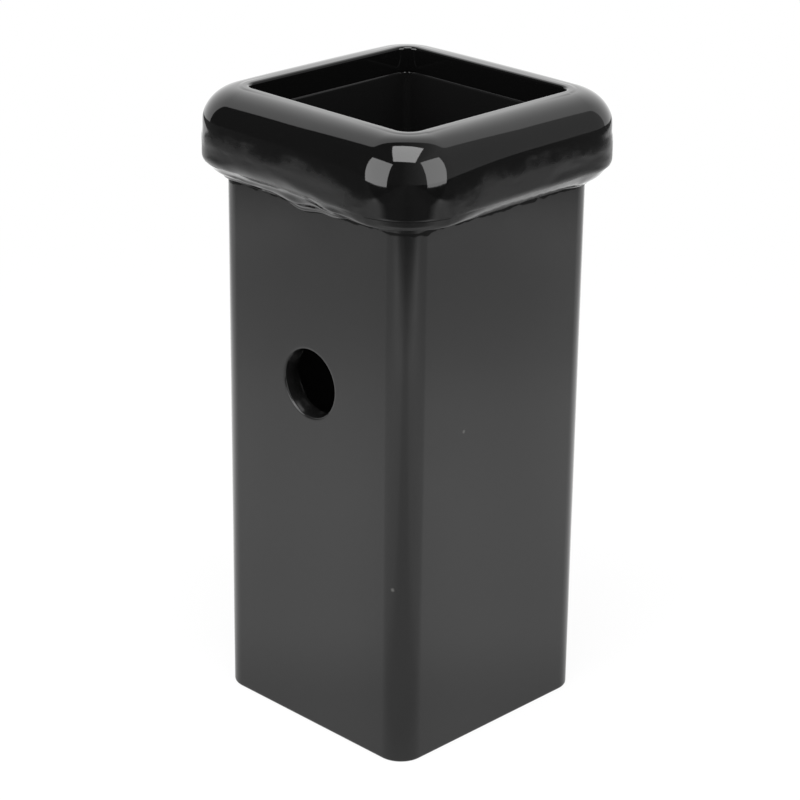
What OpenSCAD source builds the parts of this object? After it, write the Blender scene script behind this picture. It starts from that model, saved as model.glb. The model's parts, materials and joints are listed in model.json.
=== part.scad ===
// Receiver tube: a square steel sleeve that slides into a larger hitch receiver.
// A forged collar is pushed over its upper end and welded round underneath.
// Millimetres, +Z up, origin at the centre of the tube's lower end.

/* [Tube] */
// Outside width of the square tube
tube_w = 63.5; // [50:0.5:80]
// Wall thickness of the tube
tube_wall = 4.76; // [3:0.1:6]
// Outside corner radius of the tube
tube_corner_r = 6.35; // [6.2:0.05:9]
// Length of the tube from sawn end to sawn end
tube_l = 150; // [110:1:220]
// Radius of the broken edges at both sawn ends
tube_edge_r = 0.6; // [0.2:0.1:1]

/* [Collar] */
// How far the collar stands out from the tube's faces
collar_proud = 7; // [5:0.25:9]
// Height of the collar from its underside to its top
collar_h = 17.5; // [14:0.5:24]
// Height of the lip that closes over the end of the tube
lip_h = 6.2; // [4:0.2:8]
// How far the lip's mouth stands back from the tube's inner faces
mouth_step = 0.2; // [0:0.05:0.4]
// Corner radius of the mouth, seen from above
mouth_corner_r = 3.6; // [2.6:0.1:5]
// Radius of the rounded top of the collar
crown_r = 9.2; // [6:0.1:14]
// Radius of the edge between the top and the mouth
mouth_edge_r = 0.7; // [0.3:0.1:1]
// Depth of the waist, the shallow hollow round the collar just below its crown
waist_depth = 0.2; // [0.05:0.05:0.4]
// Height of the waist
waist_h = 6; // [3:0.5:7]
// Radius of the collar's lower outside edge
foot_r = 0.9; // [0.4:0.1:1.5]

/* [Pin hole] */
// Diameter of the cross hole for the hitch pin
pin_d = 16.8; // [12:0.1:20]
// Height of the hole's centre above the tube's lower end
pin_z = 90.2; // [40:0.1:100]
// Width of the chamfer round the hole on each outer face
pin_chamfer = 0.4; // [0.1:0.1:0.8]

/* [Weld] */
// Height of the weld down the tube's faces
weld_down = 4.4; // [3:0.1:6]
// Width of the weld across the collar's underside
weld_across = 5.9; // [3.5:0.1:6.3]
// How far the face of the weld swells out from its chord
weld_swell = 0.9; // [0.3:0.1:1.8]
// Share of that swell that is missing round the corners
weld_ease = 0.8; // [0:0.05:1]
// Height of the weld's ripples
weld_ripple = 0.12; // [0:0.02:0.3]
// Distance from ripple to ripple
weld_pitch = 3.2; // [2:0.1:6]

/* [Fit] */
// Gap between the tube's faces and the collar's socket
socket_gap = 0.15; // [0.05:0.05:0.3]
// Gap between the weld's back and the tube's faces
weld_gap = 0.05; // [0.04:0.01:0.1]

/* [Hidden] */
$fn = 96;

// Derived sizes of the tube
tube_core = tube_w - 2 * tube_corner_r; // between the centres of its corner arcs
tube_bore = tube_w - 2 * tube_wall;

// Derived sizes of the collar
collar_w = tube_w + 2 * collar_proud;
collar_top = tube_l + lip_h;
collar_under = collar_top - collar_h;
mouth_w = tube_bore + 2 * mouth_step;
collar_core = mouth_w - 2 * mouth_corner_r; // between the centres of its corner arcs
collar_outer_r = (collar_w - collar_core) / 2;
collar_crown_r = min(crown_r, collar_outer_r - mouth_corner_r - mouth_edge_r);
waist_r = waist_h * waist_h / (8 * waist_depth) + waist_depth / 2; // a circle that deep over that height
waist_z = max(collar_top - collar_crown_r, collar_under + foot_r + waist_h / 2); // at the foot of the crown
socket_w = tube_w + 2 * socket_gap;
socket_corner_r = tube_corner_r + socket_gap;

// Stations of the weld round the tube, and points across its face
weld_side_steps = 40;
weld_corner_steps = 8;
weld_face_steps = 7;
weld_length = 4 * tube_core + 2 * PI * tube_corner_r;
weld_ripples = round(weld_length / weld_pitch);
weld_spread = 0.25; // share of a lump's swell by which it widens across the collar
ease_start = 0.6; // place on a side, as a share of its half, from which the swell eases off

// Places where the weld has sagged or piled up:
// side from 0 at +X anticlockwise, place along it, half length, extra drop, extra swell.
// Places and lengths are shares of half a side, drops and swells are shares of the weld's
// height, so that the lumps keep their look when either changes.
weld_lumps = [
    [3, -1.05, 0.30, 0.04, 0.02],
    [3, -0.48, 0.30, 0.06, 0.11],
    [3, -0.05, 0.34, 0.45, 0.11],
    [3, 0.34, 0.34, 0.26, 0.04],
    [3, 0.72, 0.26, 0.04, 0.11],
    [3, 1.15, 0.55, 0.02, 0.22],
    [0, -0.80, 0.30, 0.02, 0.06],
    [0, 0.95, 0.25, 0.13, 0.09],
    [1, -0.50, 0.40, 0.11, 0.06],
    [1, 0.35, 0.30, 0.19, 0.06],
    [2, -0.15, 0.35, 0.15, 0.09],
    [2, 0.60, 0.25, 0.06, 0.11],
];

// Carries a wall section round a square with rounded corners. The section is drawn with x
// measured outwards from the centre line of the corner arcs, and y upwards.
module round_a_square(core) {
    for (side = [0:3])
        rotate(90 * side)
            translate([core / 2, core / 2, 0]) {
                rotate_extrude(angle = 90)
                    children();
                rotate([90, 0, 0])
                    linear_extrude(core)
                        children();
            }
}

// A square prism with rounded corners, standing on z = 0
module rounded_prism(w, corner_r, h) {
    core = w - 2 * corner_r;
    translate([-w / 2, -core / 2, 0])
        cube([w, core, h]);
    translate([-core / 2, -w / 2, 0])
        cube([core, w, h]);
    for (x = [-1, 1], y = [-1, 1])
        translate([x * core / 2, y * core / 2, 0])
            cylinder(r = corner_r, h = h);
}

// What is taken off a square corner at the origin to round it. The solid lies on the side that
// sx and sy point to, each -1 or 1.
module corner_cut(r, sx, sy) {
    difference() {
        translate([min(sx, 0) * r, min(sy, 0) * r])
            square(r);
        translate([sx * r, sy * r])
            circle(r);
    }
}

// A wall section whose corners are rounded by a radius each: lower inner, lower outer, upper
// outer and upper inner. It spans from x = inner to x = outer and from y = low to y = high.
module wall_section(inner, outer, low, high, radii) {
    difference() {
        translate([inner, low])
            square([outer - inner, high - low]);
        translate([inner, low])
            corner_cut(radii[0], 1, 1);
        translate([outer, low])
            corner_cut(radii[1], -1, 1);
        translate([outer, high])
            corner_cut(radii[2], -1, -1);
        translate([inner, high])
            corner_cut(radii[3], 1, -1);
    }
}

// The cross hole for the hitch pin, with a chamfer at each outer face
module pin_hole() {
    past = 1;
    translate([0, 0, pin_z])
        rotate([90, 0, 0]) {
            cylinder(d = pin_d, h = tube_w + 2 * past, center = true);
            for (end = [0, 1])
                mirror([0, 0, end])
                    translate([0, 0, tube_w / 2 - pin_chamfer])
                        cylinder(d1 = pin_d, d2 = pin_d + 4 * pin_chamfer, h = 2 * pin_chamfer);
        }
}

// The square tube, sawn square at both ends and drilled across
module tube() {
    color("#2b2b2b")
        difference() {
            round_a_square(tube_core)
                wall_section(
                    tube_corner_r - tube_wall, tube_corner_r, 0, tube_l,
                    [tube_edge_r, tube_edge_r, tube_edge_r, tube_edge_r]
                );
            pin_hole();
        }
}

// The collar's wall section, from the mouth to the outside, with its crown and its waist
module collar_section() {
    difference() {
        wall_section(
            mouth_corner_r, collar_outer_r, collar_under, collar_top,
            [foot_r, foot_r, collar_crown_r, mouth_edge_r]
        );
        translate([collar_outer_r + waist_r - waist_depth, waist_z])
            circle(waist_r);
    }
}

// The collar: its socket takes the tube from below, and its lip rests on the tube's end
module collar() {
    past = 1;
    color("#161616")
        difference() {
            round_a_square(collar_core)
                collar_section();
            translate([0, 0, collar_under - past])
                rounded_prism(socket_w, socket_corner_r, tube_l - collar_under + past);
        }
}

// 1 at the middle of a lump, falling smoothly to 0 at its ends
function hump(t) = abs(t) < 1 ? (1 + cos(180 * t)) / 2 : 0;

// How much the lumps of a side add at a place on it; part is 3 for the drop and 4 for the swell
function lumps(side, place, part) = let (
    found = [for (l = weld_lumps) if (l[0] == side) l[part] * weld_down * hump((place - l[1]) / l[2])]
) len(found) == 0 ? 0 : found * [for (f = found) 1];

// Round the tube, one entry for each station: side, place on it, distance run, direction the
// station faces, and the corner arc's centre. Place runs past 1 in the corner after a side.
weld_stations = [
    for (side = [0:3])
        each concat(
            [for (i = [0:weld_side_steps - 1]) let (
                run = tube_core * i / weld_side_steps
            ) [side, 2 * run / tube_core - 1, side * weld_length / 4 + run, 90 * side, run - tube_core / 2]],
            [for (i = [0:weld_corner_steps - 1]) let (
                turn = 90 * i / weld_corner_steps,
                run = tube_core + turn * PI / 180 * tube_corner_r
            ) [side, 2 * run / tube_core - 1, side * weld_length / 4 + run, 90 * side + turn, tube_core / 2]]
        )
];

// How much all the lumps near a station add there, those of the neighbouring sides too
function lumps_at(station, part) = let (
    quarter = weld_length / (2 * tube_core)
) lumps(station[0], station[1], part)
    + lumps((station[0] + 1) % 4, station[1] - quarter, part)
    + lumps((station[0] + 3) % 4, station[1] + quarter, part);

// How far the collar stands out from the tube, in the direction that a station faces
function collar_reach(station) = let (
    turn = station[3] - 90 * station[0],
    shift = (tube_core - collar_core) / 2,
    toward = shift * (cos(turn) + sin(turn))
) sqrt(pow(collar_outer_r, 2) - 2 * shift * shift + toward * toward) - toward - tube_corner_r;

// 1 round a corner of the tube, falling smoothly to 0 along the sides next to it
function corner_share(station) = let (
    t = min(max((abs(station[1]) - ease_start) / (1 - ease_start), 0), 1)
) t * t * (3 - 2 * t);

// The weld's section at a station, as [distance out from the tube's face, height]: up the back
// from the toe, out along the collar's underside, and back to the toe over the swollen face.
function weld_section(station) = let (
    drop = lumps_at(station, 3),
    more = lumps_at(station, 4),
    ripple = weld_ripple * abs(sin(180 * station[2] * weld_ripples / weld_length)),
    down = weld_down + drop,
    out = min(weld_across + weld_spread * more, collar_reach(station) - foot_r),
    plain = weld_swell * (1 - weld_ease * corner_share(station)),
    swell = (plain + more + ripple) / norm([out, down])
) concat(
    [[weld_gap, collar_under]],
    [for (k = [0:weld_face_steps]) let (t = k / weld_face_steps)
        [out + (weld_gap - out) * t + swell * sin(180 * t) * down,
         collar_under - down * t - swell * sin(180 * t) * out * (1 - t * t)]]
);

// A point of the weld in space, from its station and its place in the section
function weld_point(station, point) = let (
    side = 90 * station[0],
    along = station[4],
    r = tube_corner_r + point[0],
    turn = station[3]
) [
    tube_core / 2 * cos(side) - along * sin(side) + r * cos(turn),
    tube_core / 2 * sin(side) + along * cos(side) + r * sin(turn),
    point[1]
];

// The weld that runs once round under the collar
module weld_bead() {
    stations = len(weld_stations);
    ring = weld_face_steps + 2;
    points = [for (s = weld_stations) each [for (p = weld_section(s)) weld_point(s, p)]];
    faces = [
        for (i = [0:stations - 1], k = [0:ring - 1]) let (
            a = i * ring + k,
            b = i * ring + (k + 1) % ring,
            c = (i + 1) % stations * ring + (k + 1) % ring,
            d = (i + 1) % stations * ring + k
        ) each [[a, b, c], [a, c, d]]
    ];
    color("#1c1c1c")
        polyhedron(points, faces, convexity = 6);
}

tube();
collar();
weld_bead();
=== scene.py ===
"""Scene of a receiver tube: a square steel sleeve with a rounded collar welded round its upper end.

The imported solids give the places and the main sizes. The tube, the collar and the weld are rebuilt
here as fine meshes of the same form, with the unevenness that rolling, forging and welding leave. They
are coated in black enamel and set in a plain white studio.
"""

import json
import logging
import math
from collections.abc import Sequence
from dataclasses import dataclass
from enum import Enum
from functools import cache
from typing import Any

import bmesh
import bpy
from bmesh.types import BMesh
from bpy.types import Material, Node, NodeSocket as Socket, NodeTree as Tree, Object
from mathutils import Matrix, Vector, noise


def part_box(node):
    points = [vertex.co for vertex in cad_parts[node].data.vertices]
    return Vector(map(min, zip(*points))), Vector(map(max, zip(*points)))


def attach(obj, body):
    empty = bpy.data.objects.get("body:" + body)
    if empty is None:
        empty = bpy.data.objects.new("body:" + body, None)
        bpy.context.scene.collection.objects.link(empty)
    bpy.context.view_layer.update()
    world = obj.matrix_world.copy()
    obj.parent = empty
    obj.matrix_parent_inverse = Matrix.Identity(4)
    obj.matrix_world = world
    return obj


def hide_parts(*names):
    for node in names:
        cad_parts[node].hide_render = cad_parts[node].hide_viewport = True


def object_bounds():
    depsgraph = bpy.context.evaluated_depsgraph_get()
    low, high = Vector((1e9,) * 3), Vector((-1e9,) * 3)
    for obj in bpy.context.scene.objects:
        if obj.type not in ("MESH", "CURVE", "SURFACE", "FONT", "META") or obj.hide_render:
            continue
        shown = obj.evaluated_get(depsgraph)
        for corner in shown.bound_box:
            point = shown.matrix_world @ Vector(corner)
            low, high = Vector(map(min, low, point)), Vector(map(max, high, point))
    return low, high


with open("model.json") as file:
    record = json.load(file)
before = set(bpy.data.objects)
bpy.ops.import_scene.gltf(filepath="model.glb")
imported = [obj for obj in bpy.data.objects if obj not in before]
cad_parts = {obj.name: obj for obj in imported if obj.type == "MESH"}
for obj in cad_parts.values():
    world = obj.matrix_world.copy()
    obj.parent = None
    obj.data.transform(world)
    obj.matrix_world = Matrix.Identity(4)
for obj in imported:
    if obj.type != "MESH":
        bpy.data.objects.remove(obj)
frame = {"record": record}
CAD_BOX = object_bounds()

MM = 0.001
UP = Vector((0, 0, 1))
BODY = "root"

log = logging.getLogger("receiver_tube")


# How bright the table is in reflections: metres from the tube's axis, towards the camera or to
# either side, and the brightness there
TABLE_BACK = 0.1
TABLE_REACH = 0.6
BRIGHTEST = 2.2
FRONT_LIGHT = (
    (-0.08, 1.50), (-0.02, 1.10), (0.005, 0.92), (0.03, 1.0), (0.06, 0.80), (0.12, 0.84), (0.20, 0.88),
    (0.25, 0.92), (0.29, 1.10), (0.32, 1.12), (0.345, 0.78), (0.36, 0.48), (0.40, 0.08),
)
SIDE_LIGHT = (
    (0.03, 0.74), (0.08, 0.98), (0.16, 1.05), (0.22, 1.02), (0.30, 0.76),
    (0.36, 0.68), (0.40, 0.80), (0.43, 0.90), (0.455, 0.50), (0.48, 0.08),
)


WHITE = (1, 1, 1, 1)
# How strongly a surface mirrors: the cured coat, and the coat under the weld, where its mirroring is
# lowered as painted shade
GLOSS = 0.5
SHADE_SHINE = 0.05
# The weld's map of distance round the tube and of depth
BEAD_MAP = "bead"

Pair = tuple[float, float]
Stops = tuple[Pair, ...]
Inputs = Sequence[Any] | dict[str | int, Any]


class Side(Enum):
    """The four sides of the square, numbered anticlockwise from +X as seen from above."""

    RIGHT = 0
    BACK = 1
    LEFT = 2
    FRONT = 3


def linear(colour: str) -> tuple[float, float, float, float]:
    """Turns an sRGB hex colour into the linear colour that a shader takes.

    Args:
        colour: The colour as six hex digits after a hash.

    Returns:
        Red, green, blue and an alpha of 1.
    """
    parts = [int(colour[i:i + 2], 16) / 255 for i in (1, 3, 5)]
    red, green, blue = (c / 12.92 if c <= 0.04045 else ((c + 0.055) / 1.055) ** 2.4 for c in parts)
    return red, green, blue, 1.0


def add_node(tree: Tree, kind: str, inputs: Inputs = (), **properties: Any) -> Node:
    """Adds a node with its settings and links.

    Args:
        tree: The node tree that gets the node.
        kind: The node's type, without its prefix.
        inputs: What goes into its inputs, in their order or by name or number: a value, a socket, or a
            node, which gives its first output.
        **properties: Values of the node's own properties.

    Returns:
        The new node.
    """
    node = tree.nodes.new(f"ShaderNode{kind}")
    for name, value in properties.items():
        setattr(node, name, value)
    for name, value in inputs.items() if isinstance(inputs, dict) else enumerate(inputs):
        if isinstance(value, Node):
            value = value.outputs[0]
        if isinstance(value, Socket):
            tree.links.new(value, node.inputs[name])
        else:
            node.inputs[name].default_value = value
    return node


def new_material(name: str) -> tuple[Material, Tree]:
    """Returns a new material and its empty node tree."""
    made = bpy.data.materials.new(name)
    made.use_nodes = True
    made.node_tree.nodes.clear()
    return made, made.node_tree


def pattern_scale(size_mm: float) -> float:
    """Returns the scale of a pattern whose lumps have a size in millimetres."""
    return 1 / (size_mm * MM)


def hump(t: float) -> float:
    """Returns 1 at t = 0, falling smoothly to 0 at t = -1 and t = 1."""
    return (1 + math.cos(math.pi * t)) / 2 if abs(t) < 1 else 0.0


def smooth_step(low: float, high: float, value: float) -> float:
    """Returns 0 at low and 1 at high, rising smoothly between them."""
    t = min(max((value - low) / (high - low), 0.0), 1.0)
    return t * t * (3 - 2 * t)


@dataclass(frozen=True)
class RoundedSquare:
    """A square with rounded corners about the tube's axis, in millimetres.

    Attributes:
        width: Distance across its flats.
        corner: Radius of its corners.
    """

    width: float
    corner: float

    @property
    def core(self) -> float:
        """Distance between the centres of neighbouring corner arcs."""
        return self.width - 2 * self.corner

    @property
    def quarter(self) -> float:
        """Length of one side and one corner arc."""
        return self.core + self.corner * math.pi / 2

    def outwards(self, point: Vector) -> Vector:
        """Returns the flat vector from the core square to a point outside it."""
        half = self.core / 2
        return Vector((
            point.x - min(max(point.x, -half), half),
            point.y - min(max(point.y, -half), half),
            0,
        ))

    def run(self, point: Vector) -> float:
        """Measures how far round the square a point lies.

        Args:
            point: A point outside the core square.

        Returns:
            The distance along the square's outline, from the start of the side that faces +X.
        """
        out = self.outwards(point)
        angle = math.degrees(math.atan2(out.y, out.x)) % 360
        side = int((angle + 0.5) // 90) % 4
        turn = (angle - 90 * side + 180) % 360 - 180
        centre = Matrix.Rotation(math.radians(-90 * side), 3, "Z") @ (point - out)
        return side * self.quarter + centre.y + self.core / 2 + self.corner * math.radians(turn)

    def ring(self, run: float, pitch: float) -> Vector:
        """Turns a distance round the square into a place on a ring, so that patterns close on themselves.

        Args:
            run: The distance along the square's outline.
            pitch: The length along the outline that makes one unit of the ring.

        Returns:
            A flat place on a ring whose length is the outline's, in those units.
        """
        around = 4 * self.quarter
        angle = 2 * math.pi * run / around
        return Vector((math.cos(angle), math.sin(angle), 0)) * around / (2 * math.pi * pitch)

    def reach(self, facing: Vector, inside: "RoundedSquare") -> float:
        """Measures how far this square stands out from one inside it, in a direction from its corner.

        Args:
            facing: The flat direction, of length 1.
            inside: The square inside.

        Returns:
            The distance between the two outlines.
        """
        shift = (inside.core - self.core) / 2
        toward = shift * (abs(facing.x) + abs(facing.y))
        return math.sqrt(self.corner ** 2 - 2 * shift ** 2 + toward ** 2) - toward - inside.corner

    def snap(self, point: Vector) -> Vector:
        """Returns the place on the square's outline that is nearest to a point outside its core."""
        out = self.outwards(point)
        return point - out + out.normalized() * self.corner


@dataclass(frozen=True)
class Section:
    """A wall section whose four corners are rounded, standing in the XZ plane, in millimetres.

    Attributes:
        inner: The wall's inner face, measured outwards from the centre of the corner arcs.
        outer: The wall's outer face, measured the same way.
        low: Height of the lower end.
        high: Height of the upper end.
        radii: Radii of the lower inner, lower outer, upper outer and upper inner corners.
        arc_steps: Edges in each corner, in the same order.
    """

    inner: float
    outer: float
    low: float
    high: float
    radii: tuple[float, float, float, float]
    arc_steps: tuple[int, int, int, int]

    def draw(self, bm: BMesh, core: float, pitch: float) -> None:
        """Draws the section's outline as edges, at the start of the side that faces +X.

        Args:
            bm: The empty mesh that gets the outline.
            core: Distance between the centres of neighbouring corner arcs.
            pitch: Longest edge that is left along the section.
        """
        half = core / 2
        bmesh.ops.create_grid(bm, x_segments=1, y_segments=1, size=0.5)
        upright = Matrix(((1, 0, 0), (0, 0, 0), (0, 1, 0)))
        size = Vector((self.outer - self.inner, 0, self.high - self.low))
        middle = Vector((half + (self.inner + self.outer) / 2, -half, (self.low + self.high) / 2))
        for vert in bm.verts:
            place = upright @ vert.co
            vert.co = Vector((place.x * size.x, 0, place.z * size.z)) + middle
        places = (
            (self.inner, self.low), (self.outer, self.low),
            (self.outer, self.high), (self.inner, self.high),
        )
        for (x, z), radius, steps in zip(places, self.radii, self.arc_steps):
            if radius > 0:
                corner = Vector((half + x, -half, z))
                vert = min(bm.verts, key=lambda v: (v.co - corner).length)
                bmesh.ops.bevel(
                    bm, geom=[vert], offset=radius, offset_type="OFFSET", affect="VERTICES",
                    segments=steps, profile=0.5, material=-1,
                )
        bmesh.ops.remove_doubles(bm, verts=bm.verts, dist=0.01)
        for edge in list(bm.edges):
            cuts = math.ceil(edge.calc_length() / pitch) - 1
            if cuts > 0:
                bmesh.ops.subdivide_edges(bm, edges=[edge], cuts=cuts)
        bmesh.ops.delete(bm, geom=list(bm.faces), context="FACES_ONLY")


def sweep(bm: BMesh, core: float, strides: Sequence[tuple[float, int]], corner_steps: int) -> None:
    """Carries the section that a mesh holds once round a square, and joins its ends.

    Args:
        bm: The mesh, which holds the section's edges at the start of the side that faces +X.
        core: Distance between the centres of neighbouring corner arcs.
        strides: Lengths that make up each side, each with its number of steps.
        corner_steps: Steps round each corner.
    """
    section: list[Any] = [*bm.verts, *bm.edges]
    for side in Side:
        turned = Matrix.Rotation(math.radians(90 * side.value), 3, "Z")
        for length, steps in strides:
            section = bmesh.ops.spin(
                bm, geom=section, cent=(0, 0, 0), axis=UP, dvec=turned @ Vector((0, length / steps, 0)),
                angle=0, steps=steps,
            )["geom_last"]
        section = bmesh.ops.spin(
            bm, geom=section, cent=turned @ Vector((core / 2, core / 2, 0)), axis=UP, dvec=(0, 0, 0),
            angle=math.radians(90), steps=corner_steps,
        )["geom_last"]
    bmesh.ops.remove_doubles(bm, verts=bm.verts, dist=0.001)


@dataclass(frozen=True, kw_only=True)
class Enamel:
    """Black baking enamel, sprayed on steel and cured in an oven.

    It dries to a deep, almost mirror gloss, so the eye sees the room in it more than its colour. Spray
    leaves a faint orange peel, and dust that settled before curing shows as rare pale specks. A mask
    says where the coat is unlike its smooth self. A pair gives a value at mask 0 and one at mask 1.

    Attributes:
        name: The material's name.
        colour: The coat's own colour, in sRGB hex.
        roughness: The pair for its roughness.
        peel_mm: Distance between the crests of the orange peel.
        peel_depth_mm: Depth of the orange peel.
        grit_mm: Size of the grain under the coat.
        grit_depth_mm: Depth of that grain.
        speck_mm: Typical distance between dust specks.
        grit: The pair for the strength of the grain.
        shine: The pair for how strongly it mirrors.
    """

    name: str
    colour: str
    roughness: Pair
    peel_mm: float
    peel_depth_mm: float
    grit_mm: float
    grit_depth_mm: float
    speck_mm: float
    grit: Pair = (1.0, 1.0)
    shine: Pair = (GLOSS, GLOSS)

    def material(self) -> Material:
        """Makes the material.

        Returns:
            The enamel, with its nodes set.
        """
        made, tree = new_material(self.name)
        place = add_node(tree, "TexCoord").outputs["Object"]
        mask = self.mask(tree, place)
        peel = add_node(
            tree, "TexNoise",
            {"Vector": place, "Scale": pattern_scale(self.peel_mm), "Detail": 1.0, "Roughness": 0.4},
        )
        grit = add_node(
            tree, "TexNoise",
            {"Vector": place, "Scale": pattern_scale(self.grit_mm), "Detail": 3.0, "Roughness": 0.6},
        )
        peeled = add_node(
            tree, "Bump", {"Height": peel, "Distance": self.peel_depth_mm * MM, "Strength": 1.0},
        )
        gritty = add_node(tree, "Bump", {
            "Height": grit, "Normal": peeled, "Distance": self.grit_depth_mm * MM,
            "Strength": self.along(tree, mask, self.grit),
        })
        # Where a mask lowers the shine, the coat mirrors less and looks darker: painted shade.
        shader = add_node(tree, "BsdfPrincipled", {
            "Base Color": self.tint(tree, place), "Roughness": self.dullness(tree, place, mask),
            "Specular IOR Level": self.along(tree, mask, self.shine), "IOR": 1.5, "Metallic": 0.0,
            "Normal": gritty,
        })
        add_node(tree, "OutputMaterial", {"Surface": shader})
        return made

    def mask(self, tree: Tree, place: Socket) -> Node:
        """Adds the mask at a place."""
        raise NotImplementedError

    def along(self, tree: Tree, mask: Node, pair: Pair) -> Node | float:
        """Returns what goes from a pair's first value to its second with the mask, or their one value."""
        low, high = pair
        return low if low == high else add_node(tree, "MapRange", (mask, 0.0, 1.0, low, high))

    def dullness(
        self, tree: Tree, place: Socket, mask: Node,
    ) -> Node | float:
        """Returns the coat's roughness at a place."""
        return self.along(tree, mask, self.roughness)

    def tint(self, tree: Tree, place: Socket) -> Socket:
        """Returns the coat's colour, with its specks of dust."""
        cell = add_node(
            tree, "TexVoronoi", {"Vector": place, "Scale": pattern_scale(self.speck_mm)}, feature="F1",
        )
        speck = add_node(tree, "MapRange", (cell, 0.012, 0.03, 1.0, 0.0))
        colours = {0: speck, 6: linear(self.colour), 7: linear("#5c5c5a")}
        return add_node(tree, "Mix", colours, data_type="RGBA").outputs[2]


@dataclass(frozen=True, kw_only=True)
class ScaledEnamel(Enamel):
    """The same enamel where it lies thin over forging scale: dull and grainy below a ragged line.

    The near corner, which was ground smooth before it was sprayed, keeps its full gloss.

    Attributes:
        line_mm: Height of the ragged line in the middle of a side.
        ground_mm: Where the ground corner starts and where it is whole, as x - y.
    """

    line_mm: float
    ground_mm: Pair

    def mask(self, tree: Tree, place: Socket) -> Node:
        """Adds 1 over the scale and 0 on the smooth crown and on the ground corner."""
        ragged = add_node(
            tree, "TexNoise",
            {"Vector": place, "Scale": pattern_scale(9), "Detail": 3.0, "Roughness": 0.6},
        )
        shift = add_node(tree, "MapRange", (ragged, 0.3, 0.7, -2 * MM, 2 * MM))
        axes = add_node(tree, "SeparateXYZ", (place,))
        height = add_node(tree, "Math", (axes.outputs["Z"], shift), operation="ADD")
        low, high = (self.line_mm - 3.5) * MM, (self.line_mm + 2.5) * MM
        smooth = {"interpolation_type": "SMOOTHSTEP"}
        below = add_node(tree, "MapRange", (height, low, high, 1.0, 0.0), **smooth)
        near = add_node(tree, "Math", (axes.outputs["X"], axes.outputs["Y"]), operation="SUBTRACT")
        wide = add_node(tree, "Math", (shift, 2.0, near), operation="MULTIPLY_ADD")
        start, whole = (edge * MM for edge in self.ground_mm)
        rough = add_node(tree, "MapRange", (wide, start, whole, 1.0, 0.0), **smooth)
        return add_node(tree, "Math", (below, rough), operation="MULTIPLY")


@dataclass(frozen=True, kw_only=True)
class BeadEnamel(Enamel):
    """The same enamel on the weld. Its toe is undercut, and along it the coat is made dull and barely
    mirroring: painted shade of the crevice.
    """

    def mask(self, tree: Tree, place: Socket) -> Node:
        """Adds 1 along the toe, where the painted shade lies, with breaks, from the bead's own map of run
        and depth.
        """
        lay = add_node(tree, "UVMap", uv_map=BEAD_MAP)
        depth = add_node(tree, "SeparateXYZ", (lay,)).outputs["Y"]
        broken = add_node(
            tree, "TexNoise",
            {"Vector": lay, "Scale": pattern_scale(14), "Detail": 2.0, "Roughness": 0.5},
        )
        shift = add_node(tree, "Math", (broken, 0.14, -0.07), operation="MULTIPLY_ADD")
        shifted = add_node(tree, "Math", (depth, shift), operation="ADD")
        return add_node(tree, "MapRange", (shifted, 0.93, 0.95, 0.0, 1.0))


@dataclass(frozen=True, kw_only=True)
class ToeShadeEnamel(Enamel):
    """The same enamel on the tube, with a broken line of painted shade close under the weld, where it
    mirrors little.

    Attributes:
        line_mm: Height of the line.
        inside_mm: Distance from the middle within which the tube's wall has none.
        corner_mm: Where the near corner's wider patch starts and where it is whole, as x - y.
    """

    line_mm: float
    inside_mm: float
    corner_mm: Pair

    def mask(self, tree: Tree, place: Socket) -> Node:
        """Adds 1 on the line of painted shade under the weld, which is wide at the near corner and breaks
        off elsewhere.
        """
        axes = add_node(tree, "SeparateXYZ", (place,))
        across, along, up = axes.outputs
        height = add_node(tree, "Math", (up, self.line_mm * MM), operation="SUBTRACT")
        apart = add_node(tree, "Math", (height,), operation="ABSOLUTE")
        broken = add_node(
            tree, "TexNoise",
            {"Vector": place, "Scale": pattern_scale(7), "Detail": 2.0, "Roughness": 0.6},
        )
        reach = add_node(tree, "MapRange", (broken, 0.38, 0.60, -0.1 * MM, 0.75 * MM))
        near = add_node(tree, "Math", (across, along), operation="SUBTRACT")
        start, whole = (edge * MM for edge in self.corner_mm)
        patch = add_node(tree, "MapRange", (near, start, whole, 0.0, 0.5 * MM))
        wide = add_node(tree, "Math", (reach, patch), operation="ADD")
        within = add_node(tree, "Math", (wide, apart), operation="SUBTRACT")
        line = add_node(tree, "MapRange", (within, 0.0, 0.2 * MM, 0.0, 1.0))
        flat = add_node(tree, "VectorMath", (place,), operation="ABSOLUTE")
        sides = add_node(tree, "SeparateXYZ", (flat,))
        wall = add_node(tree, "Math", (sides.outputs["X"], sides.outputs["Y"]), operation="MAXIMUM")
        outer = add_node(tree, "Math", (wall, self.inside_mm * MM), operation="GREATER_THAN")
        return add_node(tree, "Math", (line, outer), operation="MULTIPLY")

    def dullness(
        self, tree: Tree, place: Socket, mask: Node,
    ) -> Node:
        """Returns the coat's roughness, which here drifts with the thickness of the spray."""
        cloud = add_node(
            tree, "TexNoise",
            {"Vector": place, "Scale": pattern_scale(18), "Detail": 3.0, "Roughness": 0.55},
        )
        return add_node(tree, "MapRange", (cloud, 0.3, 0.7, *self.roughness))


# The tube's coat mirrors little along a line under the weld, widest at the near corner: painted shade of
# the crevice there.
TUBE_ENAMEL = ToeShadeEnamel(
    name="black_enamel_on_rolled_steel", colour="#141414", roughness=(0.12, 0.18), peel_mm=2.5,
    peel_depth_mm=0.002, grit_mm=0.5, grit_depth_mm=0.0004, speck_mm=26, shine=(GLOSS, SHADE_SHINE),
    line_mm=133.8, inside_mm=28.5, corner_mm=(55, 58),
)
COLLAR_ENAMEL = ScaledEnamel(
    name="black_enamel_on_forged_steel", colour="#0a0a0a", roughness=(0.05, 0.36), peel_mm=3.0,
    peel_depth_mm=0.003, grit_mm=0.8, grit_depth_mm=0.020, speck_mm=22, grit=(0.05, 1.0),
    line_mm=146.5, ground_mm=(52, 66),
)
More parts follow.
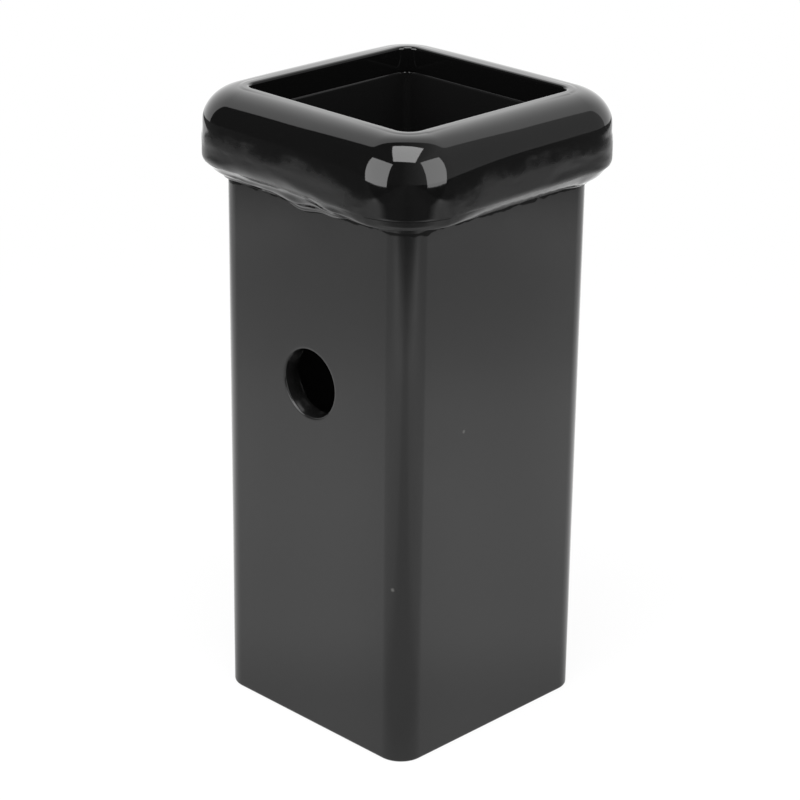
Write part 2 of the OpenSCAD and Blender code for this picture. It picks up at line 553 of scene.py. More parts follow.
# The weld's toe is dull and mirrors little: painted shade of the crevice under the bead.
WELD_ENAMEL = BeadEnamel(
    name="black_enamel_on_weld", colour="#101010", roughness=(0.16, 0.9), peel_mm=1.6,
    peel_depth_mm=0.004, grit_mm=0.7, grit_depth_mm=0.005, speck_mm=18, shine=(GLOSS, SHADE_SHINE),
)


class Piece:
    """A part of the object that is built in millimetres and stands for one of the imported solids."""

    node: str
    slot: str
    enamel: Enamel

    def shape(self, bm: BMesh) -> None:
        """Shapes the piece in an empty mesh, in millimetres."""
        raise NotImplementedError

    def build(self) -> Object:
        """Builds and dresses the piece, attaches it to its body and hides the imported solid.

        Returns:
            The finished object, at the origin.
        """
        bm = bmesh.new()
        self.shape(bm)
        bmesh.ops.recalc_face_normals(bm, faces=bm.faces)
        bmesh.ops.scale(bm, vec=(MM, MM, MM), verts=bm.verts)
        mesh = bpy.data.meshes.new(f"{self.node}_painted")
        bm.to_mesh(mesh)
        loose = sum(1 for edge in bm.edges if not edge.is_manifold)
        bm.free()
        mesh.shade_smooth()
        mesh.set_sharp_from_angle(angle=math.radians(50))
        piece = bpy.data.objects.new(f"{self.node}_painted", mesh)
        bpy.context.scene.collection.objects.link(piece)
        mesh.materials.append(self.enamel.material())
        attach(piece, BODY)
        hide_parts(self.node)
        log.info("%s: %d faces, %d open edges", piece.name, len(mesh.polygons), loose)
        return piece


@dataclass
class SquareTube(Piece):
    """The square tube, sawn at both ends and drilled across for a pin, in millimetres.

    Attributes:
        width: Outside width.
        length: Length from sawn end to sawn end.
        hole_radius: Radius of the pin hole.
        hole_height: Height of the hole's centre.
        wall: Wall thickness.
        corner: Outside corner radius.
        edge: Radius of the broken edges at the ends.
        hole_edge: Radius of the hole's outer edge.
        window: Half the width of the square patch of wall that holds the hole.
        window_steps: Rows and columns of faces that the patch takes up.
    """

    width: float
    length: float
    hole_radius: float
    hole_height: float
    wall: float = 4.76
    corner: float = 6.35
    edge: float = 0.6
    hole_edge: float = 0.5
    window: float = 12.0
    window_steps: int = 16
    node: str = "tube"
    slot: str = "tube_paint"
    enamel: Enamel = TUBE_ENAMEL

    @property
    def outline(self) -> RoundedSquare:
        """The tube's outside, seen from above."""
        return RoundedSquare(self.width, self.corner)

    def shape(self, bm: BMesh) -> None:
        """Sweeps the wall round the square, then drills both sides."""
        core = self.outline.core
        section = Section(
            self.corner - self.wall, self.corner, 0, self.length,
            (self.edge,) * 4, (4, 5, 5, 4),
        )
        section.draw(bm, core, self.length)
        support, clear, clear_steps, corner_steps = 0.3, core / 2 - self.window, 8, 14
        strides = (
            (support, 1), (clear - support, clear_steps), (2 * self.window, self.window_steps),
            (clear - support, clear_steps), (support, 1),
        )
        sweep(bm, core, strides, corner_steps)
        for height in self.levels():
            bmesh.ops.bisect_plane(
                bm, geom=[*bm.verts, *bm.edges, *bm.faces], dist=0.001,
                plane_co=(0, 0, height), plane_no=UP,
            )
        for facing in (-1, 1):
            self.drill(bm, facing)

    def levels(self) -> list[float]:
        """Returns the heights at which the long walls are cut into rows."""
        low, high = self.hole_height - self.window, self.hole_height + self.window
        support = self.edge + 0.3
        rows = [support, self.length - support]
        rows += [low + (high - low) * i / self.window_steps for i in range(self.window_steps + 1)]
        below, above = 26, 16
        rows += [support + (low - support) * i / below for i in range(1, below)]
        rows += [high + (self.length - support - high) * i / above for i in range(1, above)]
        return rows

    def drill(self, bm: BMesh, facing: int) -> None:
        """Opens a square patch in one wall and fills it with a ring of faces round a bore.

        Args:
            bm: The tube's mesh.
            facing: 1 for the wall that faces +Y, -1 for the one that faces -Y.
        """
        outside, inside = facing * self.width / 2, facing * (self.width / 2 - self.wall)
        centre = Vector((0, 0, self.hole_height))

        def in_patch(point: Vector, depth: float) -> bool:
            """Tells whether a point lies on the patch in the plane y = depth."""
            return abs(point.y - depth) < 0.01 and self.reach(point) < self.window + 0.01

        for depth in (outside, inside):
            patch = [f for f in bm.faces if in_patch(f.calc_center_median(), depth)]
            bmesh.ops.delete(bm, geom=patch, context="FACES")
        place = Matrix.Translation(centre + Vector((0, outside, 0)))
        ring = bmesh.ops.create_circle(
            bm, cap_ends=False, segments=4 * self.window_steps,
            radius=self.hole_radius + self.hole_edge + 0.4,
            matrix=place @ Matrix.Rotation(math.radians(90), 4, "X"),
        )["verts"]
        first = list({e for v in ring for e in v.link_edges})
        edges = first
        for radius, depth in self.bore(outside, inside):
            grown = bmesh.ops.extrude_edge_only(bm, edges=edges)["geom"]
            ring = [g for g in grown if isinstance(g, bmesh.types.BMVert)]
            edges = [g for g in grown if isinstance(g, bmesh.types.BMEdge)]
            for vert in ring:
                flat = Vector((vert.co.x, 0, vert.co.z)) - centre
                vert.co = centre + flat.normalized() * radius + Vector((0, depth, 0))
        for depth, circle in ((outside, first), (inside, edges)):
            square = [
                e for e in bm.edges
                if e.is_boundary and e not in circle and all(in_patch(v.co, depth) for v in e.verts)
            ]
            square = [e for e in square if max(self.reach(v.co) for v in e.verts) > self.window - 0.01]
            bmesh.ops.bridge_loops(bm, edges=square + circle)

    def reach(self, point: Vector) -> float:
        """Returns how far a point of a drilled wall lies from the hole's centre, across or up."""
        return max(abs(point.x), abs(point.z - self.hole_height))

    def bore(self, outside: float, inside: float) -> list[tuple[float, float]]:
        """Lists the rings of the hole, from the outer face inwards.

        Args:
            outside: Where the wall's outer face lies along Y.
            inside: Where its inner face lies.

        Returns:
            The radius of each ring and its place along Y.
        """
        inwards = 1 if inside > outside else -1
        steps = 6
        rings = []
        for i in range(steps + 1):
            angle = math.radians(90) * i / steps
            rings.append((
                self.hole_radius + self.hole_edge * (1 - math.sin(angle)),
                outside + inwards * self.hole_edge * (1 - math.cos(angle)),
            ))
        rings.append((self.hole_radius, inside - inwards * 0.3))
        rings.append((self.hole_radius + 0.1, inside - inwards * 0.1))
        rings.append((self.hole_radius + 0.3, inside))
        return rings


@dataclass(frozen=True)
class Lump:
    """A place where the weld has sagged or piled up.

    Attributes:
        side: The side that it is on.
        place: Its middle, as a share of half the side from the side's middle.
        half: Half its length, as the same share.
        drop: How far the toe sags there, as a share of the weld's height.
        swell: How far the face swells there, as the same share.
    """

    side: Side
    place: float
    half: float
    drop: float
    swell: float


LUMPS = (
    Lump(Side.FRONT, -1.05, 0.30, 0.04, 0.0),
    Lump(Side.FRONT, -0.48, 0.30, 0.06, 0.03),
    Lump(Side.FRONT, -0.05, 0.34, 0.45, 0.0),
    Lump(Side.FRONT, 0.34, 0.34, 0.26, 0.0),
    Lump(Side.FRONT, 0.72, 0.26, 0.04, 0.0),
    Lump(Side.FRONT, 1.15, 0.60, 0.02, 0.0),
    Lump(Side.RIGHT, -0.80, 0.30, 0.02, 0.06),
    Lump(Side.RIGHT, 0.95, 0.25, 0.13, 0.09),
    Lump(Side.BACK, -0.50, 0.40, 0.11, 0.06),
    Lump(Side.BACK, 0.35, 0.30, 0.19, 0.06),
    Lump(Side.LEFT, -0.15, 0.35, 0.15, 0.09),
    Lump(Side.LEFT, 0.60, 0.25, 0.06, 0.11),
)


@dataclass(frozen=True)
class Fold:
    """A line along which an upper pass of the weld ends in a step over a lower one.

    Attributes:
        side: The side that it is on.
        start: Where it starts, as a share of half the side from the side's middle.
        end: Where it ends, as the same share.
        high: Its depth at the start, as a share of the weld's height.
        low: Its depth at the end, as the same share.
        step: Height of the step, in millimetres.
        width: Width over which it falls, as a share of the weld's height.
    """

    side: Side
    start: float
    end: float
    high: float
    low: float
    step: float
    width: float


FOLDS = (
    Fold(Side.FRONT, -0.80, 0.80, 0.62, 0.42, 1.00, 0.12),
    Fold(Side.FRONT, 0.15, 1.05, 0.06, 0.66, 0.60, 0.10),
    Fold(Side.FRONT, -1.20, -0.40, 0.40, 0.85, 0.50, 0.10),
    Fold(Side.RIGHT, -1.10, -0.55, 0.50, 0.66, 0.35, 0.12),
    Fold(Side.BACK, -0.60, 0.40, 0.50, 0.60, 0.35, 0.15),
    Fold(Side.LEFT, -0.40, 0.70, 0.45, 0.65, 0.35, 0.15),
)


@dataclass(frozen=True)
class Profile:
    """A size that changes along the four sides and runs smoothly from each to the next.

    Attributes:
        right: Places on the side that faces +X, as shares of half the side from its middle, with the
            size at each.
        back: The same for the side that faces +Y.
        left: The same for the side that faces -X.
        front: The same for the side that faces -Y.
    """

    right: Stops
    back: Stops
    left: Stops
    front: Stops

    @cache
    def marks(self, square: RoundedSquare) -> list[tuple[float, float]]:
        """Returns distances round a square with the size at each, with one mark before and one after."""
        sides = (self.right, self.back, self.left, self.front)
        found = [
            (side.value * square.quarter + (place + 1) * square.core / 2, size)
            for side, stops in zip(Side, sides) for place, size in stops
        ]
        around = 4 * square.quarter
        return [(found[-1][0] - around, found[-1][1]), *found, (found[0][0] + around, found[0][1])]

    def at(self, square: RoundedSquare, run: float) -> float:
        """Works out the size at a place round a square.

        Args:
            square: The square.
            run: The distance along its outline, from the start of the side that faces +X.

        Returns:
            The size there.
        """
        marks = self.marks(square)
        run = (run - marks[1][0]) % (4 * square.quarter) + marks[1][0]
        after = next(i for i, mark in enumerate(marks) if mark[0] >= run and i > 0)
        (low, first), (high, last) = marks[after - 1], marks[after]
        return first + (last - first) * smooth_step(low, high, run)


# How high above its lower edge the collar starts to roll under, in millimetres
FOOT_ROLL = Profile(
    right=((-1.0, 0.05), (-0.7, 0.5), (0.0, 1.1), (1.0, 1.0)),
    back=((-1.0, 1.2), (0.0, 1.6), (1.0, 1.2)),
    left=((-1.0, 1.2), (0.0, 1.8), (1.0, 1.4)),
    front=((-1.0, 1.6), (-0.7, 3.0), (-0.1, 3.3), (0.25, 2.2), (0.55, 0.9), (1.0, 0.05)),
)
# Where the weld starts to be melted into the collar towards the near corner, and where it wholly is: x - y
# as a share of half the tube's width
NEAR_MELT = (1.35, 1.82)
# How far the weld's face swells out from its chord, in millimetres
FULLNESS = Profile(
    right=((-1.0, 2.2), (-0.7, 1.3), (0.0, 1.0), (0.8, 0.8), (1.0, 0.3)),
    back=((-1.0, 0.3), (-0.5, 0.9), (0.5, 0.9), (1.0, 0.3)),
    left=((-1.0, 0.3), (-0.5, 0.8), (0.5, 0.8), (1.0, 0.2)),
    front=((-1.0, 0.2), (-0.6, 0.1), (0.2, 0.1), (0.6, 0.9), (1.0, 2.2)),
)
# Radius of the rolled foot, as a share of the height at which it starts
FOOT_ROUND = 1.45


def roll_under(drop: float, start: float) -> float:
    """Returns how far a rolled foot has drawn in at a distance below where its roll starts."""
    radius = FOOT_ROUND * start
    return radius - math.sqrt(radius ** 2 - min(drop, start) ** 2) if drop > 0 else 0.0


def fold_shape(t: float) -> float:
    """Returns the form of a step: it rises slowly to 1 at t = 0, then drops steeply to a groove."""
    if t < 0:
        return hump(t / 3)
    return hump(t / 0.9) - 0.6 * hump((t - 0.9) / 0.9)


@dataclass
class Collar(Piece):
    """The forged collar: a ring with a rounded top, a mouth, and a socket below for the tube.

    Attributes:
        width: Outside width.
        under: Height of its underside.
        top: Height of its top.
        tube: The outline of the tube that it takes.
        seat: Height at which its lip rests on the tube's end.
        mouth: Width of the mouth.
        mouth_corner: Corner radius of the mouth.
        crown: Radius of the rounded top.
        mouth_edge: Radius of the edge between the top and the mouth.
        foot: Radius of the lower outside edge.
        gap: Gap between the tube and the socket.
        waist_depth: Depth of the waist below the crown.
        waist_height: Height of the waist.
        cushion: How far the ends of the sides fall back, as a forging's do.
        sole: Width of the underside that moves with the rolled foot.
    """

    width: float
    under: float
    top: float
    tube: RoundedSquare
    seat: float
    mouth: float = 54.38
    mouth_corner: float = 3.6
    crown: float = 9.2
    mouth_edge: float = 0.7
    foot: float = 0.2
    gap: float = 0.15
    waist_depth: float = 0.2
    waist_height: float = 6.0
    cushion: float = 0.12
    sole: float = 5.0
    node: str = "collar"
    slot: str = "collar_paint"
    enamel: Enamel = COLLAR_ENAMEL

    @property
    def outline(self) -> RoundedSquare:
        """The collar's outside, seen from above."""
        return RoundedSquare(self.width, (self.width - self.mouth) / 2 + self.mouth_corner)

    def shape(self, bm: BMesh) -> None:
        """Sweeps the collar's section round the mouth, then models the surface."""
        core = self.mouth - 2 * self.mouth_corner
        outer = (self.width - core) / 2
        crown = min(self.crown, outer - self.mouth_corner - self.mouth_edge)
        arc_steps, pitch, side_steps, corner_steps = (3, 6, 36, 6), 0.5, 80, 26
        section = Section(
            self.mouth_corner, outer, self.under, self.top,
            (self.foot, self.foot, crown, self.mouth_edge), arc_steps,
        )
        section.draw(bm, core, pitch)
        sweep(bm, core, ((core, side_steps),), corner_steps)
        self.open_socket(bm)
        self.work_surface(bm)

    def open_socket(self, bm: BMesh) -> None:
        """Widens the lower part of the inner wall to a socket that clears the tube."""
        socket = RoundedSquare(self.tube.width + 2 * self.gap, self.tube.corner + self.gap)
        inner = RoundedSquare(self.mouth, self.mouth_corner)
        for vert in bm.verts:
            depth = inner.outwards(vert.co).length - inner.corner
            if vert.co.z < self.seat and depth < 0.8:
                vert.co = socket.snap(vert.co)
            elif vert.co.z < self.under + 0.1:
                beyond = socket.outwards(vert.co).length - socket.corner
                if beyond < 0.3:
                    vert.co = socket.snap(vert.co)

    def work_surface(self, bm: BMesh) -> None:
        """Gives the outside its waist, its unevenness and its rolled foot."""
        bmesh.ops.recalc_face_normals(bm, faces=bm.faces)
        bm.normal_update()
        outline = self.outline
        moves = []
        for vert in bm.verts:
            move = Vector()
            out = outline.outwards(vert.co)
            outside = out.length - outline.corner
            if outside > -self.crown and vert.normal.dot(out) > 0:
                move = vert.normal * self.relief(vert.co, outline)
            if vert.normal.z > -0.2 and outside > 1 - outline.corner + self.mouth_corner:
                move -= out.normalized() * self.taper(vert.co, outside)
            if outside > -self.sole:
                start = FOOT_ROLL.at(outline, outline.run(vert.co))
                drawn = roll_under(self.under + start - vert.co.z, start)
                move -= out.normalized() * drawn * (1 + outside / self.sole)
            moves.append(move)
        for vert, move in zip(bm.verts, moves):
            vert.co += move
            reach = self.width / 2
            vert.co.x = min(max(vert.co.x, -reach), reach)
            vert.co.y = min(max(vert.co.y, -reach), reach)
            vert.co.z = min(vert.co.z, self.top)

    def near(self, point: Vector) -> float:
        """Returns how close a point is to the near corner, which was ground smooth: from 0 to 1."""
        return smooth_step(0.94 * self.width / 2, 1.8 * self.width / 2, point.x - point.y)

    def taper(self, point: Vector, outside: float) -> float:
        """Works out how far the near corner leans back above its lower edge.

        Args:
            point: A point on the plain form.
            outside: Its distance from the collar's outline, negative inwards.

        Returns:
            The distance inwards, in millimetres.
        """
        near = self.near(point)
        lean, knee, end = 0.024, 4.5, 4.0
        rise = max(point.z - self.top + self.crown + knee, 0.0)
        if rise < knee:
            back = lean * rise * rise / 2
        else:
            over = min(rise - knee, end)
            back = lean * knee * (knee / 2 + over - over * over / (2 * end))
        return near * back * smooth_step(1 - self.crown, -0.4 * self.crown, outside)

    def relief(self, point: Vector, outline: RoundedSquare) -> float:
        """Works out how far the surface stands out of its plain form at a point.

        Args:
            point: A point on the plain form.
            outline: The collar's outline, seen from above.

        Returns:
            The distance outwards, in millimetres; it is negative inwards.
        """
        crown_foot = self.top - self.crown
        forged = 1 - self.near(point)
        waist = -self.waist_depth * forged * hump((point.z - crown_foot) / (self.waist_height * 0.56))
        end = min(min(abs(point.x), abs(point.y)) / (outline.core / 2), 1.0)
        cushion = -self.cushion * end ** 3
        below = smooth_step(crown_foot + 1.5, crown_foot - 2.5, point.z)
        flow = outline.ring(outline.run(point), 11.0) + UP * point.z * 0.30
        skin = 0.10 * noise.noise(flow) + 0.05 * noise.noise(flow * 2.7) + 0.018 * noise.noise(point * 0.9)
        return waist + cushion + below * forged * skin


@dataclass
class WeldBead(Piece):
    """The fillet weld that runs once round under the collar.

    Attributes:
        tube: The outline of the tube that it lies against.
        under: Height of the collar's underside.
        collar: The outline of the collar above it.
        foot: Radius of the collar's lower edge, which it leaves free.
        down: Height of the weld down the tube.
        across: Width of the weld across the collar's underside.
        toe: How far the toe rolls out before it turns in to the tube.
        gap: Gap between its back and the tube.
        pitch: Distance from ripple to ripple.
        near_share: Share of its height that it keeps at the near corner, where it melted into the collar.
    """

    tube: RoundedSquare
    under: float
    collar: RoundedSquare
    foot: float
    down: float = 4.4
    across: float = 5.9
    toe: float = 0.45
    gap: float = 0.05
    pitch: float = 3.2
    near_share: float = 0.58
    node: str = "weld_bead"
    slot: str = "weld_paint"
    enamel: Enamel = WELD_ENAMEL

    def shape(self, bm: BMesh) -> None:
        """Sweeps a plain fillet round the tube, maps it, then lays the bead's form on it."""
        half, corner = self.tube.core / 2, self.tube.corner
        face_steps, side_steps, corner_steps = 24, 104, 20
        corners = (
            (self.gap, self.under), (self.across, self.under), (self.gap, self.under - self.down),
        )
        bm.faces.new([bm.verts.new((half + corner + out, -half, z)) for out, z in corners])
        chord = max(bm.edges, key=lambda e: e.calc_length())
        bmesh.ops.subdivide_edges(bm, edges=[chord], cuts=face_steps - 1)
        bmesh.ops.delete(bm, geom=list(bm.faces), context="FACES_ONLY")
        sweep(bm, self.tube.core, ((self.tube.core, side_steps),), corner_steps)
        layer = bm.loops.layers.uv.new(BEAD_MAP)
        for face in bm.faces:
            start = self.tube.run(face.calc_center_median())
            for loop in face.loops:
                run = self.tube.run(loop.vert.co)
                whole = 4 * self.tube.quarter
                run = start + (run - start + whole / 2) % whole - whole / 2
                loop[layer].uv = (run * MM, (self.under - loop.vert.co.z) / self.down)
        for vert in bm.verts:
            vert.co = self.laid(vert.co)

    def sag(self, run: float) -> tuple[float, float]:
        """Adds up what the lumps do at a place round the tube.

        Args:
            run: Distance round the tube.

        Returns:
            The extra drop and the extra swell.
        """
        drop = swell = 0.0
        for lump in LUMPS:
            share = hump((self.place(run, lump.side) - lump.place) / lump.half)
            drop += lump.drop * self.down * share
            swell += lump.swell * self.down * share
        return drop, swell

    def laid(self, point: Vector) -> Vector:
        """Moves a point of the plain fillet to where the bead has it.

        Args:
            point: A point of the plain fillet's surface.

        Returns:
            The same point on the finished bead.
        """
        out = self.tube.outwards(point)
        run = self.tube.run(point)
        facing = out.normalized()
        wide = (out.length - self.tube.corner - self.gap) / (self.across - self.gap)
        deep = (self.under - point.z) / self.down
        drop, swell = self.sag(run)
        down = self.down + drop
        start = FOOT_ROLL.at(self.tube, run)
        across = self.collar.reach(facing, self.tube) - roll_under(start, start) - self.foot
        swell += FULLNESS.at(self.tube, run)
        ripple = 0.05 * abs(math.sin(math.pi * run / self.pitch)) * (1 - self.smooth(run))
        bulge = stand_off = melted = 0.0
        if wide + deep > 0.99:
            rise = swell + ripple + self.flow(run, deep)
            bulge = rise * math.sin(math.pi * deep) / math.hypot(across, down)
            stand_off = self.overlap(run, deep) + self.toe * hump((deep - 0.89) / 0.11)
            melted = smooth_step(*NEAR_MELT, (point.x - point.y) / (self.tube.width / 2))
        stand = self.gap + wide * (across - self.gap) + bulge * down + stand_off
        fall = deep * down + bulge * across * (1 - deep * deep)
        upright = self.gap + (across - self.gap) * math.sqrt(max(1 - deep ** 8, 0.0))
        stand += melted * (upright - stand)
        fall += melted * (self.near_share * deep * down - fall)
        root = point - out + facing * (self.tube.corner + stand)
        return Vector((root.x, root.y, self.under - fall))

    def smooth(self, run: float) -> float:
        """Returns how far the ripples have melted away: wholly on the front, where it was hottest."""
        middle = (Side.FRONT.value + 0.5) * self.tube.quarter - self.tube.corner * math.pi / 4
        return smooth_step(self.tube.core * 0.62, self.tube.core * 0.5, abs(run - middle))

    def flow(self, run: float, deep: float) -> float:
        """Returns how far metal that ran along the joint stands out of the bead's plain face."""
        streaks = self.tube.ring(run, 10.0) + UP * deep * 2.4
        grain = self.tube.ring(run, 3.0) + UP * deep * 3.0
        long = 0.30 * noise.noise(streaks) + 0.16 * noise.noise(streaks * 2.1)
        return self.smooth(run) * long + (1 - self.smooth(run)) * 0.10 * noise.noise(grain)

    def overlap(self, run: float, deep: float) -> float:
        """Works out the steps where one pass of the weld overlaps another.

        Args:
            run: Distance round the tube.
            deep: Depth below the collar, as a share of the bead's height.

        Returns:
            The distance inwards or outwards, in millimetres.
        """
        total = 0.0
        for fold in FOLDS:
            place = self.place(run, fold.side)
            if fold.start < place < fold.end:
                share = (place - fold.start) / (fold.end - fold.start)
                line = fold.high + (fold.low - fold.high) * share
                fade = math.sin(math.pi * share) ** 0.5
                total += fold.step * fade * fold_shape((deep - line) / fold.width)
        return total

    def place(self, run: float, side: Side) -> float:
        """Returns a place round the tube as a share of half a side, from that side's middle."""
        whole = 4 * self.tube.quarter
        middle = side.value * self.tube.quarter + self.tube.core / 2
        return ((run - middle + whole / 2) % whole - whole / 2) / (self.tube.core / 2)


@dataclass(frozen=True)
class Softbox:
    """A square lamp behind white cloth, placed by where it is seen from the object.

    Attributes:
        name: The lamp's name.
        azimuth: Direction from the object, in degrees clockwise from -Y.
        elevation: Height above the horizon, in degrees.
        distance: Distance from the aim, in metres.
        width: Width, in metres.
        height: Height, in metres.
        radiance: Brightness of its cloth, where 1 is white.
    """

    name: str
    azimuth: float
    elevation: float
    distance: float
    width: float
    height: float
    radiance: float

    def build(self, aim: Vector) -> Object:
        """Places the lamp so that it faces the aim.

        Args:
            aim: The point that it faces.

        Returns:
            The lamp's object.
        """
        light = bpy.data.lights.new(self.name, "AREA")
        light.shape = "RECTANGLE"
        light.size, light.size_y = self.width, self.height
        light.energy = self.radiance * math.pi * self.width * self.height
        lamp = bpy.data.objects.new(self.name, light)
        away = direction(self.azimuth, self.elevation)
        turn = away.to_track_quat("Z", "Y").to_matrix().to_4x4()
        lamp.matrix_world = Matrix.Translation(aim + away * self.distance) @ turn
        bpy.context.scene.collection.objects.link(lamp)
        lamp.visible_camera = False
        return lamp


def direction(azimuth: float, elevation: float) -> Vector:
    """Returns the direction towards an azimuth, clockwise from -Y, and an elevation, in degrees."""
    turn, rise = math.radians(azimuth), math.radians(elevation)
    return Vector((math.sin(turn) * math.cos(rise), -math.cos(turn) * math.cos(rise), math.sin(rise)))


@dataclass
class Studio:
    """The white table, the wall behind it, the lamps and the camera.

    Attributes:
        azimuth: The camera's direction from the object, in degrees clockwise from -Y.
        elevation: The camera's height above the horizon, in degrees.
        roll: How far the camera is turned anticlockwise about its own axis, in degrees.
        distance: The camera's distance from its aim, in millimetres.
        aim_side: How far to the camera's right the aim lies from the tube's axis, in millimetres.
        aim_height: Height of the aim, in millimetres.
        focal: Focal length, in picture widths.
        shift: How far the picture is moved to the right, in picture widths.
    """

    azimuth: float = 44.672
    elevation: float = 22.141
    roll: float = 0.699
    distance: float = 639.38
    aim_side: float = -0.83
    aim_height: float = 77.158
    focal: float = 3.2627
    shift: float = -0.0006

    def build(self) -> None:
        """Builds the whole studio."""
        scene = bpy.context.scene
        scene.view_settings.view_transform = "Standard"
        self.camera(scene)
        self.world(scene)
        self.floor()
        self.wall()
        self.tent()
        aim = Vector((0, 0, 0.1))
        for box in self.softboxes():
            box.build(aim)

    def camera(self, scene: bpy.types.Scene) -> None:
        """Sets up the camera at the photograph's place."""
        data = bpy.data.cameras.new("camera")
        data.sensor_width = 36.0
        data.lens = self.focal * data.sensor_width
        data.clip_start = 0.05
        data.shift_x = self.shift
        camera = bpy.data.objects.new("camera", data)
        back = direction(self.azimuth, self.elevation)
        side = direction(self.azimuth + 90, 0)
        aim = side * self.aim_side * MM + UP * self.aim_height * MM
        basis = Matrix((side, back.cross(side), back)).transposed().to_4x4()
        camera.matrix_world = (
            Matrix.Translation(aim + back * self.distance * MM) @ basis
            @ Matrix.Rotation(math.radians(self.roll), 4, "Z")
        )
        scene.collection.objects.link(camera)
        scene.camera = camera

    def softboxes(self) -> list[Softbox]:
        """Returns the lamps: one on each side of the camera and one overhead."""
        return [
            Softbox("left_softbox", self.azimuth - 55, 14, 1.1, 0.85, 1.15, 4.0),
            Softbox("right_softbox", self.azimuth + 50, 18, 1.1, 0.74, 1.26, 3.4),
            Softbox("top_softbox", self.azimuth - 8, 71, 1.0, 0.62, 0.8, 5.8),
        ]

    def world(self, scene: bpy.types.Scene) -> None:
        """Makes the world white to the eye and in reflections, and a low even light otherwise."""
        world = bpy.data.worlds.new("studio_world")
        world.use_nodes = True
        tree = world.node_tree
        tree.nodes.clear()
        rays = add_node(tree, "LightPath").outputs
        first = add_node(tree, "Math", (rays["Is Camera Ray"], rays["Is Glossy Ray"]), operation="ADD")
        seen = add_node(
            tree, "Math", (first, rays["Is Transmission Ray"]), operation="ADD", use_clamp=True,
        )
        strength = add_node(tree, "MapRange", (seen, 0.0, 1.0, 0.35, 1.0))
        white = add_node(tree, "Background", {"Color": WHITE, "Strength": strength})
        add_node(tree, "OutputWorld", {"Surface": white})
        scene.world = world

    def glow_material(self, name: str) -> tuple[Material, Tree]:
        """Returns a new material that glows only for rays that meet it, and its empty node tree."""
        made, tree = new_material(name)
        made.cycles.emission_sampling = "NONE"
        return made, tree

    def sheet(
        self, name: str, bm: BMesh, made: Material, mirrored: bool = False,
    ) -> None:
        """Makes a piece of the studio from a mesh.

        Args:
            name: Its name.
            bm: Its mesh, which is used up.
            made: Its material.
            mirrored: Whether it shows in reflections only.
        """
        mesh = bpy.data.meshes.new(name)
        bm.to_mesh(mesh)
        bm.free()
        mesh.materials.append(made)
        sheet = bpy.data.objects.new(name, mesh)
        bpy.context.scene.collection.objects.link(sheet)
        if mirrored:
            sheet.visible_camera = False
            sheet.visible_diffuse = False
            sheet.visible_shadow = False
            sheet.visible_transmission = False

    def plane(self, width: float, depth: float, place: Matrix) -> BMesh:
        """Makes the mesh of a flat sheet.

        Args:
            width: Its width, in metres.
            depth: Its depth, in metres.
            place: Where it goes.

        Returns:
            The mesh.
        """
        bm = bmesh.new()
        bmesh.ops.create_grid(bm, x_segments=1, y_segments=1, size=0.5)
        bmesh.ops.scale(bm, vec=(width, depth, 1), verts=bm.verts)
        bmesh.ops.transform(bm, matrix=place, verts=bm.verts)
        return bm

    def turned(self, tree: Tree, place: Socket) -> Node:
        """Adds a place's distances to the camera's right, away from the camera, and up."""
        turn = {"Vector": place, "Angle": -math.radians(self.azimuth)}
        turned = add_node(tree, "VectorRotate", turn, rotation_type="Z_AXIS")
        return add_node(tree, "SeparateXYZ", (turned,))

    def floor(self) -> None:
        """Lays the white table, lit in reflections only as far as its front edge."""
        made, tree = self.glow_material("white_laminate")
        place = add_node(tree, "TexCoord").outputs["Object"]
        axes = self.turned(tree, place)
        towards = add_node(tree, "Math", (axes.outputs["Y"], -1.0), operation="MULTIPLY")
        across = add_node(tree, "Math", (axes.outputs["X"],), operation="ABSOLUTE")
        front = self.falloff(tree, towards, FRONT_LIGHT)
        sides = self.falloff(tree, across, SIDE_LIGHT)
        lit = add_node(tree, "Math", (front, sides), operation="MULTIPLY")
        paper = add_node(tree, "BsdfDiffuse", {"Color": linear("#fafafa")})
        white = add_node(tree, "Emission", {"Color": WHITE, "Strength": 1.0})
        glow = add_node(tree, "Emission", {"Color": WHITE, "Strength": lit})
        away = add_node(tree, "VectorMath", (place,), operation="LENGTH").outputs["Value"]
        plain = add_node(tree, "MapRange", (away, 0.12, 0.40, 0.9, 1.0))
        bright = add_node(tree, "MixShader", (plain, paper, white))
        rays = add_node(tree, "LightPath").outputs
        to_eye = add_node(tree, "MixShader", (rays["Is Camera Ray"], paper, bright))
        to_gloss = add_node(tree, "MixShader", (rays["Is Glossy Ray"], to_eye, glow))
        add_node(tree, "OutputMaterial", {"Surface": to_gloss})
        place = Matrix.Translation((0, 0, CAD_BOX[0].z - 0.0001))
        self.sheet("floor", self.plane(12, 12, place), made)

    @staticmethod
    def falloff(tree: Tree, distance: Node, stops: Stops) -> Node:
        """Makes the table's brightness depend on a distance.

        Args:
            tree: The material's nodes.
            distance: Node that gives the distance, in metres.
            stops: Distances with the brightness at each.

        Returns:
            A node with the brightness.
        """
        share = add_node(tree, "MapRange", (distance, -TABLE_BACK, TABLE_REACH, 0.0, 1.0))
        ramp = add_node(tree, "ValToRGB", (share,))
        ramp.color_ramp.interpolation = "EASE"
        marks = ramp.color_ramp.elements
        while len(marks) < len(stops):
            marks.new(1.0)
        for mark, (place, value) in zip(marks, stops):
            mark.position = (place + TABLE_BACK) / (TABLE_BACK + TABLE_REACH)
            grey = value / BRIGHTEST
            mark.color = (grey, grey, grey, 1)
        return add_node(tree, "Math", (ramp, BRIGHTEST), operation="MULTIPLY")

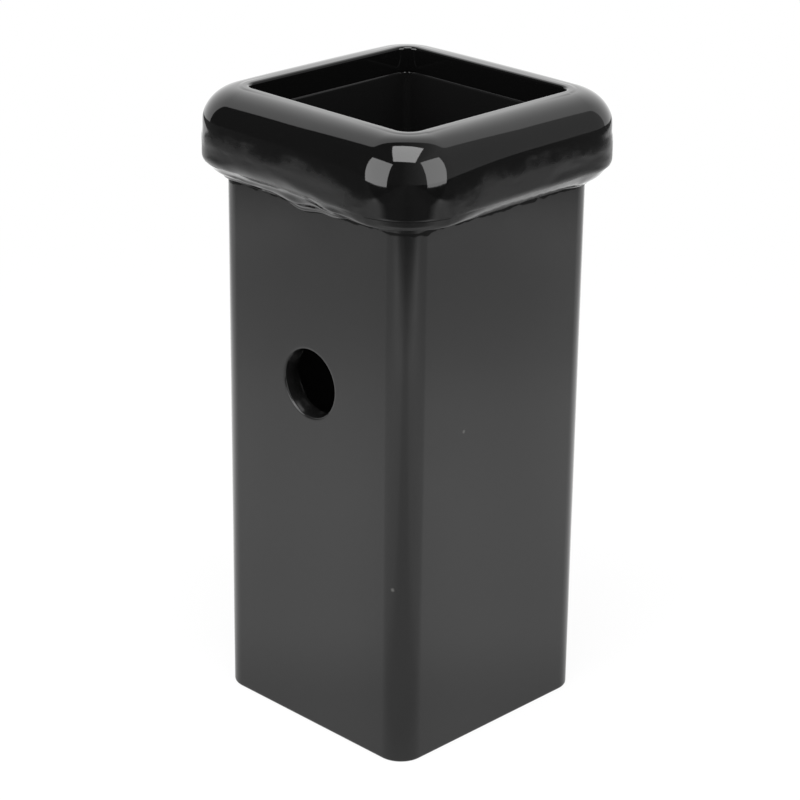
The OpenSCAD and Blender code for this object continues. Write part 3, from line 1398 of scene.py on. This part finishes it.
    def wall(self) -> None:
        """Hangs the bright wall behind the table, which the crown of the collar mirrors."""
        away = direction(self.azimuth + 180, 0)
        side = direction(self.azimuth + 90, 0)
        made, tree = self.glow_material("lit_wall_paper")
        place = add_node(tree, "TexCoord").outputs["Object"]
        centre = away * 1.0 + UP * 0.35
        apart = add_node(tree, "VectorMath", (place, centre), operation="DISTANCE").outputs["Value"]
        spread = (apart, 0.1, 1.6, 1.55, 1.2)
        strength = add_node(tree, "MapRange", spread, interpolation_type="SMOOTHSTEP")
        glow = add_node(tree, "Emission", {"Color": WHITE, "Strength": strength})
        add_node(tree, "OutputMaterial", {"Surface": glow})
        upright = Matrix((side, UP, -away)).transposed().to_4x4()
        upright.translation = away * 1.0 + UP * 1.5
        self.sheet("wall", self.plane(4.3, 3.0, upright), made, mirrored=True)

    def tent(self) -> None:
        """Hangs a glowing sheet round and over the table, seen only in reflections: painted shade of the
        dim room, brighter towards the camera's right, so that the gloss has something dark to mirror.
        """
        made, tree = self.glow_material("dim_room_glow")
        axes = self.turned(tree, add_node(tree, "TexCoord").outputs["Object"])
        # Glow that is dim on the camera's left and brighter to its right: painted light and shade of the
        # room.
        strength = add_node(tree, "MapRange", (axes.outputs["X"], -0.6, 2.2, 0.04, 0.45))
        glow = add_node(tree, "Emission", {"Color": WHITE, "Strength": strength})
        add_node(tree, "OutputMaterial", {"Surface": glow})
        radius, height = 2.9, 3.4
        bm = bmesh.new()
        bmesh.ops.create_cone(
            bm, cap_ends=True, cap_tris=False, segments=48, radius1=radius, radius2=radius, depth=height,
            matrix=Matrix.Translation((0, 0, height / 2)),
        )
        bottom = [f for f in bm.faces if f.calc_center_median().z < 0.01]
        bmesh.ops.delete(bm, geom=bottom, context="FACES")
        self.sheet("tent", bm, made, mirrored=True)


def pin_hole() -> tuple[float, float]:
    """Reads the pin hole from the record.

    Returns:
        Its radius and the height of its centre, in millimetres.
    """
    mount = next(m for m in frame["record"]["mounts"] if m["name"] == "pin_hole")
    return mount["dims"]["r_mm"], mount["pos_m"][2] / MM


def main() -> None:
    """Builds the object and the studio."""
    logging.basicConfig(level=logging.INFO, format="%(name)s: %(message)s")
    tube_low, tube_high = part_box("tube")
    collar_low, collar_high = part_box("collar")
    hole_radius, hole_height = pin_hole()
    tube = SquareTube(
        (tube_high.x - tube_low.x) / MM, (tube_high.z - tube_low.z) / MM, hole_radius, hole_height,
    )
    collar = Collar(
        (collar_high.x - collar_low.x) / MM, collar_low.z / MM, collar_high.z / MM,
        tube.outline, tube_high.z / MM,
    )
    weld = WeldBead(tube.outline, collar.under, collar.outline, collar.foot)
    for piece in (tube, collar, weld):
        piece.build()
    Studio().build()


if __name__ == "__main__":
    main()
